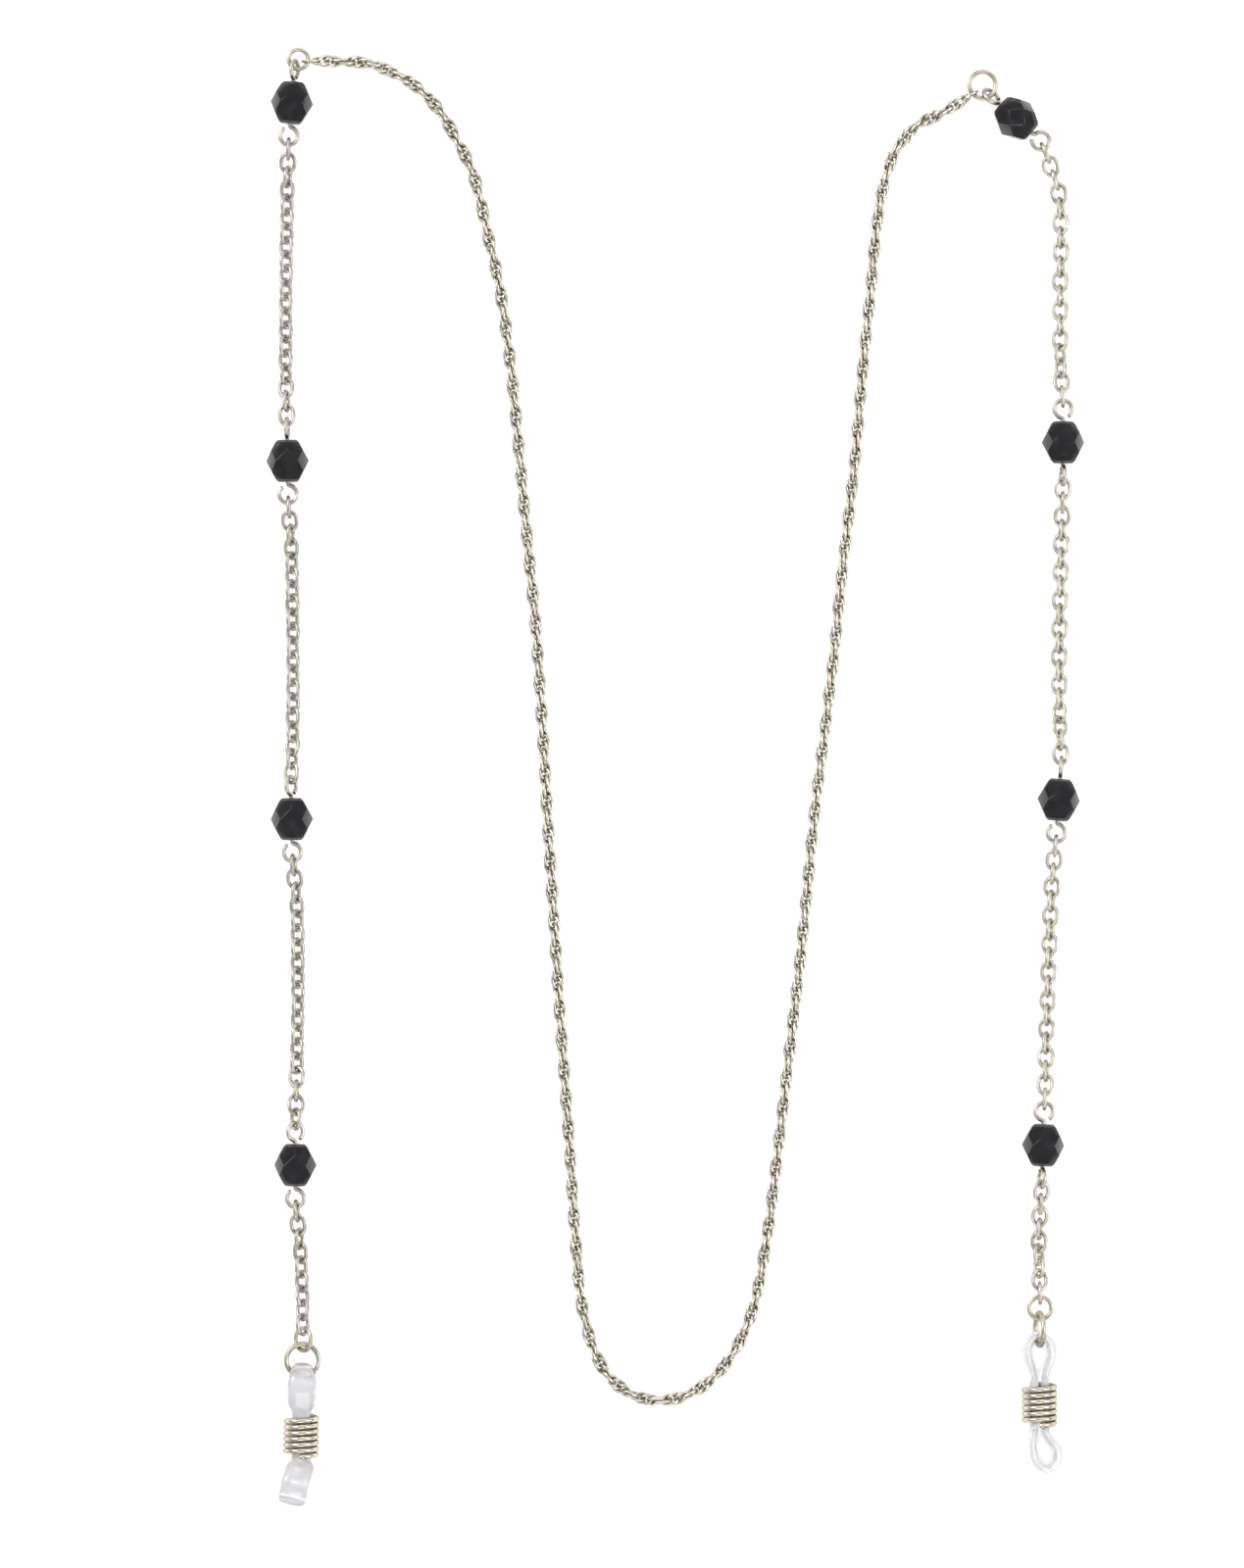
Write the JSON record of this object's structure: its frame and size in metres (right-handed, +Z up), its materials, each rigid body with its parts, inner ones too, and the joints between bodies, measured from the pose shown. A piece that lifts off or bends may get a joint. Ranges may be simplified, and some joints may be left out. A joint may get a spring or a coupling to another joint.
{
  "type": "eyeglass retainer chain",
  "caption": "Beaded neck chain that holds a pair of eyeglasses, with a looped rubber gripper at each end that slips over a temple arm.",
  "frame": {"origin": "middle of the laid-out chain's outline, on the table that it lies on", "axes": "+Z up from the table; +Y towards the neck ends of the two drops, -Y towards the grippers; +X from the left drop to the right one"},
  "size_m": [0.1149, 0.2051, 0.0052],
  "materials": {
    "chain": "silver-tone plating, slightly warm",
    "pin": "bright silver-tone plating",
    "coil": "silver-tone plated spring wire",
    "glass": "opaque black, fire-polished facets",
    "rubber": "clear, smooth, slightly milky"
  },
  "bodies": {
    "rope_middle": {"rope_chain_4": "chain"},
    "rope_section_3": {"rope_chain_3": "chain"},
    "rope_section_2": {"rope_chain_2": "chain"},
    "rope_section_1": {"rope_chain_1": "chain", "left_rope_end_link": "chain"},
    "left_neck_ring": {"left_top_ring": "chain"},
    "left_looped_pin_1": {"left_pin_1": "pin"},
    "left_glass_bead_1": {"left_bead_1": "glass"},
    "left_cable_1": {"left_cable_1_first_link": "chain", "left_cable_1_links": "chain", "left_cable_1_last_link": "chain"},
    "left_looped_pin_2": {"left_pin_2": "pin"},
    "left_glass_bead_2": {"left_bead_2": "glass"},
    "left_cable_2": {"left_cable_2_first_link": "chain", "left_cable_2_links": "chain", "left_cable_2_last_link": "chain"},
    "left_looped_pin_3": {"left_pin_3": "pin"},
    "left_glass_bead_3": {"left_bead_3": "glass"},
    "left_cable_3": {"left_cable_3_first_link": "chain", "left_cable_3_links": "chain", "left_cable_3_last_link": "chain"},
    "left_looped_pin_4": {"left_pin_4": "pin"},
    "left_glass_bead_4": {"left_bead_4": "glass"},
    "left_cable_4": {"left_cable_4_first_link": "chain", "left_cable_4_links": "chain", "left_cable_4_last_link": "chain"},
    "left_small_jump_ring": {"left_small_ring": "chain"},
    "left_gripper_jump_ring": {"left_gripper_ring": "chain"},
    "left_temple_gripper": {"left_gripper_band": "rubber"},
    "left_sliding_coil": {"left_gripper_coil": "coil"},
    "rope_section_5": {"rope_chain_5": "chain"},
    "rope_section_6": {"rope_chain_6": "chain"},
    "rope_section_7": {"rope_chain_7": "chain", "right_rope_end_link": "chain"},
    "right_neck_ring": {"right_top_ring": "chain"},
    "right_looped_pin_1": {"right_pin_1": "pin"},
    "right_glass_bead_1": {"right_bead_1": "glass"},
    "right_cable_1": {"right_cable_1_first_link": "chain", "right_cable_1_links": "chain", "right_cable_1_last_link": "chain"},
    "right_looped_pin_2": {"right_pin_2": "pin"},
    "right_glass_bead_2": {"right_bead_2": "glass"},
    "right_cable_2": {"right_cable_2_first_link": "chain", "right_cable_2_links": "chain", "right_cable_2_last_link": "chain"},
    "right_looped_pin_3": {"right_pin_3": "pin"},
    "right_glass_bead_3": {"right_bead_3": "glass"},
    "right_cable_3": {"right_cable_3_first_link": "chain", "right_cable_3_links": "chain", "right_cable_3_last_link": "chain"},
    "right_looped_pin_4": {"right_pin_4": "pin"},
    "right_glass_bead_4": {"right_bead_4": "glass"},
    "right_cable_4": {"right_cable_4_first_link": "chain", "right_cable_4_links": "chain", "right_cable_4_last_link": "chain"},
    "right_small_jump_ring": {"right_small_ring": "chain"},
    "right_gripper_jump_ring": {"right_gripper_ring": "chain"},
    "right_temple_gripper": {"right_gripper_band": "rubber"},
    "right_sliding_coil": {"right_gripper_coil": "coil"}
  },
  "joints": [
    {"name": "left_coil_slide", "type": "slide", "parent": "left_temple_gripper", "child": "left_sliding_coil", "axis": [-0.0175, -0.9998, 0], "range_m": [-0.0005, 0.003], "deforming": ["left_gripper_band"]},
    {"name": "left_gripper_swing", "type": "hinge", "parent": "left_gripper_jump_ring", "child": "left_temple_gripper", "pos_m": [-0.05235, -0.08189, 0.0026], "axis": [0, 0, 1], "range_deg": [-40, 40]},
    {"name": "right_coil_slide", "type": "slide", "parent": "right_temple_gripper", "child": "right_sliding_coil", "axis": [0, -1, 0], "range_m": [-0.0005, 0.003], "deforming": ["right_gripper_band"]},
    {"name": "right_gripper_swing", "type": "hinge", "parent": "right_gripper_jump_ring", "child": "right_temple_gripper", "pos_m": [0.05115, -0.07971, 0.0026], "axis": [0, 0, -1], "range_deg": [-35, 35]},
    {"name": "left_gripper_ring_swing", "type": "hinge", "parent": "left_small_jump_ring", "child": "left_gripper_jump_ring", "pos_m": [-0.05235, -0.08189, 0.0026], "axis": [0, 0, -1], "range_deg": [-30, 30]},
    {"name": "left_small_ring_swing", "type": "hinge", "parent": "left_cable_4", "child": "left_small_jump_ring", "pos_m": [-0.05221, -0.07783, 0.0026], "axis": [0, 0, 1], "range_deg": [-20, 25]},
    {"name": "left_cable_4_swing", "type": "hinge", "parent": "left_looped_pin_4", "child": "left_cable_4", "pos_m": [-0.05333, -0.05935, 0.0026], "axis": [0, 0, -1], "range_deg": [-30, 30]},
    {"name": "left_pin_4_swing", "type": "hinge", "parent": "left_cable_3", "child": "left_looped_pin_4", "pos_m": [-0.05335, -0.04903, 0.0026], "axis": [0, 0, 1], "range_deg": [-20, 20]},
    {"name": "left_cable_1_swing", "type": "hinge", "parent": "left_looped_pin_1", "child": "left_cable_1", "pos_m": [-0.05426, 0.09008, 0.0026], "axis": [0, 0, -1], "range_deg": [-12, 12]},
    {"name": "left_pin_1_swing", "type": "hinge", "parent": "left_neck_ring", "child": "left_looped_pin_1", "pos_m": [-0.05294, 0.10089, 0.0026], "axis": [0, 0, 1], "range_deg": [-10, 10]},
    {"name": "right_gripper_ring_swing", "type": "hinge", "parent": "right_small_jump_ring", "child": "right_gripper_jump_ring", "pos_m": [0.05122, -0.07526, 0.0026], "axis": [0, 0, 1], "range_deg": [-30, 30]},
    {"name": "right_small_ring_swing", "type": "hinge", "parent": "right_cable_4", "child": "right_small_jump_ring", "pos_m": [0.05125, -0.07454, 0.0026], "axis": [0, 0, -1], "range_deg": [-25, 25]},
    {"name": "right_cable_4_swing", "type": "hinge", "parent": "right_looped_pin_4", "child": "right_cable_4", "pos_m": [0.05143, -0.05753, 0.0026], "axis": [0, 0, 1], "range_deg": [-30, 30]},
    {"name": "right_pin_4_swing", "type": "hinge", "parent": "right_cable_3", "child": "right_looped_pin_4", "pos_m": [0.05181, -0.04694, 0.0026], "axis": [0, 0, -1], "range_deg": [-20, 20]},
    {"name": "right_cable_1_swing", "type": "hinge", "parent": "right_looped_pin_1", "child": "right_cable_1", "pos_m": [0.05134, 0.08941, 0.0026], "axis": [0, 0, 1], "range_deg": [-12, 12]},
    {"name": "right_pin_1_swing", "type": "hinge", "parent": "right_neck_ring", "child": "right_looped_pin_1", "pos_m": [0.04315, 0.09727, 0.0026], "axis": [0, 0, -1], "range_deg": [-10, 10]},
    {"name": "left_bead_4_spin", "type": "hinge", "parent": "left_looped_pin_4", "child": "left_glass_bead_4", "pos_m": [-0.05335, -0.05444, 0.0026], "axis": [0, -1, 0], "continuous": true},
    {"name": "right_bead_4_spin", "type": "hinge", "parent": "right_looped_pin_4", "child": "right_glass_bead_4", "pos_m": [0.05165, -0.05164, 0.0026], "axis": [-0.0349, -0.9994, 0], "continuous": true},
    {"name": "left_top_ring_turn", "type": "hinge", "parent": "rope_section_1", "child": "left_neck_ring", "pos_m": [-0.05294, 0.10089, 0.0026], "axis": [0, 0, -1], "range_deg": [-10, 10]},
    {"name": "rope_bend_1", "type": "hinge", "parent": "rope_section_2", "child": "rope_section_1", "pos_m": [-0.02301, 0.05669, 0.00103], "axis": [0, 0, 1], "range_deg": [-8, 8]},
    {"name": "rope_bend_2", "type": "hinge", "parent": "rope_section_3", "child": "rope_section_2", "pos_m": [-0.0182, -0.00077, 0.00103], "axis": [0, 0, -1], "range_deg": [-8, 8]},
    {"name": "rope_bend_3", "type": "hinge", "parent": "rope_middle", "child": "rope_section_3", "pos_m": [-0.01445, -0.05832, 0.00103], "axis": [0, 0, 1], "range_deg": [-8, 8]},
    {"name": "left_pin_2_swing", "type": "hinge", "parent": "left_cable_1", "child": "left_looped_pin_2", "pos_m": [-0.05455, 0.05039, 0.0026], "axis": [0, 0, 1], "range_deg": [-12, 12]},
    {"name": "left_cable_2_swing", "type": "hinge", "parent": "left_looped_pin_2", "child": "left_cable_2", "pos_m": [-0.05437, 0.03976, 0.0026], "axis": [0, 0, -1], "range_deg": [-15, 15]},
    {"name": "left_pin_3_swing", "type": "hinge", "parent": "left_cable_2", "child": "left_looped_pin_3", "pos_m": [-0.05395, -0.00007, 0.0026], "axis": [0, 0, 1], "range_deg": [-15, 15]},
    {"name": "left_cable_3_swing", "type": "hinge", "parent": "left_looped_pin_3", "child": "left_cable_3", "pos_m": [-0.05375, -0.01075, 0.0026], "axis": [0, 0, -1], "range_deg": [-20, 20]},
    {"name": "right_top_ring_turn", "type": "hinge", "parent": "rope_section_7", "child": "right_neck_ring", "pos_m": [0.04315, 0.09727, 0.0026], "axis": [0, 0, 1], "range_deg": [-10, 10]},
    {"name": "rope_bend_7", "type": "hinge", "parent": "rope_section_6", "child": "rope_section_7", "pos_m": [0.02509, 0.04274, 0.00103], "axis": [0, 0, -1], "range_deg": [-8, 8]},
    {"name": "rope_bend_6", "type": "hinge", "parent": "rope_section_5", "child": "rope_section_6", "pos_m": [0.01869, -0.01457, 0.00103], "axis": [0, 0, 1], "range_deg": [-8, 8]},
    {"name": "rope_bend_5", "type": "hinge", "parent": "rope_middle", "child": "rope_section_5", "pos_m": [0.01168, -0.0718, 0.00103], "axis": [0, 0, -1], "range_deg": [-8, 8]},
    {"name": "right_pin_2_swing", "type": "hinge", "parent": "right_cable_1", "child": "right_looped_pin_2", "pos_m": [0.05445, 0.05176, 0.0026], "axis": [0, 0, -1], "range_deg": [-12, 12]},
    {"name": "right_cable_2_swing", "type": "hinge", "parent": "right_looped_pin_2", "child": "right_cable_2", "pos_m": [0.05443, 0.04114, 0.0026], "axis": [0, 0, 1], "range_deg": [-15, 15]},
    {"name": "right_pin_3_swing", "type": "hinge", "parent": "right_cable_2", "child": "right_looped_pin_3", "pos_m": [0.05426, 0.00278, 0.0026], "axis": [0, 0, -1], "range_deg": [-15, 15]},
    {"name": "right_cable_3_swing", "type": "hinge", "parent": "right_looped_pin_3", "child": "right_cable_3", "pos_m": [0.05352, -0.00783, 0.0026], "axis": [0, 0, 1], "range_deg": [-20, 20]},
    {"name": "left_bead_1_spin", "type": "hinge", "parent": "left_looped_pin_1", "child": "left_glass_bead_1", "pos_m": [-0.05385, 0.09476, 0.0026], "axis": [-0.0872, -0.9962, 0], "continuous": true},
    {"name": "left_bead_2_spin", "type": "hinge", "parent": "left_looped_pin_2", "child": "left_glass_bead_2", "pos_m": [-0.05445, 0.04446, 0.0026], "axis": [0.0175, -0.9998, 0], "continuous": true},
    {"name": "left_bead_3_spin", "type": "hinge", "parent": "left_looped_pin_3", "child": "left_glass_bead_3", "pos_m": [-0.05385, -0.00584, 0.0026], "axis": [0.0175, -0.9998, 0], "continuous": true},
    {"name": "right_bead_1_spin", "type": "hinge", "parent": "right_looped_pin_1", "child": "right_glass_bead_1", "pos_m": [0.04785, 0.09256, 0.0026], "axis": [0.7431, -0.6691, 0], "continuous": true},
    {"name": "right_bead_2_spin", "type": "hinge", "parent": "right_looped_pin_2", "child": "right_glass_bead_2", "pos_m": [0.05445, 0.04706, 0.0026], "axis": [0, -1, 0], "continuous": true},
    {"name": "right_bead_3_spin", "type": "hinge", "parent": "right_looped_pin_3", "child": "right_glass_bead_3", "pos_m": [0.05385, -0.00314, 0.0026], "axis": [-0.0698, -0.9976, 0], "continuous": true}
  ]
}
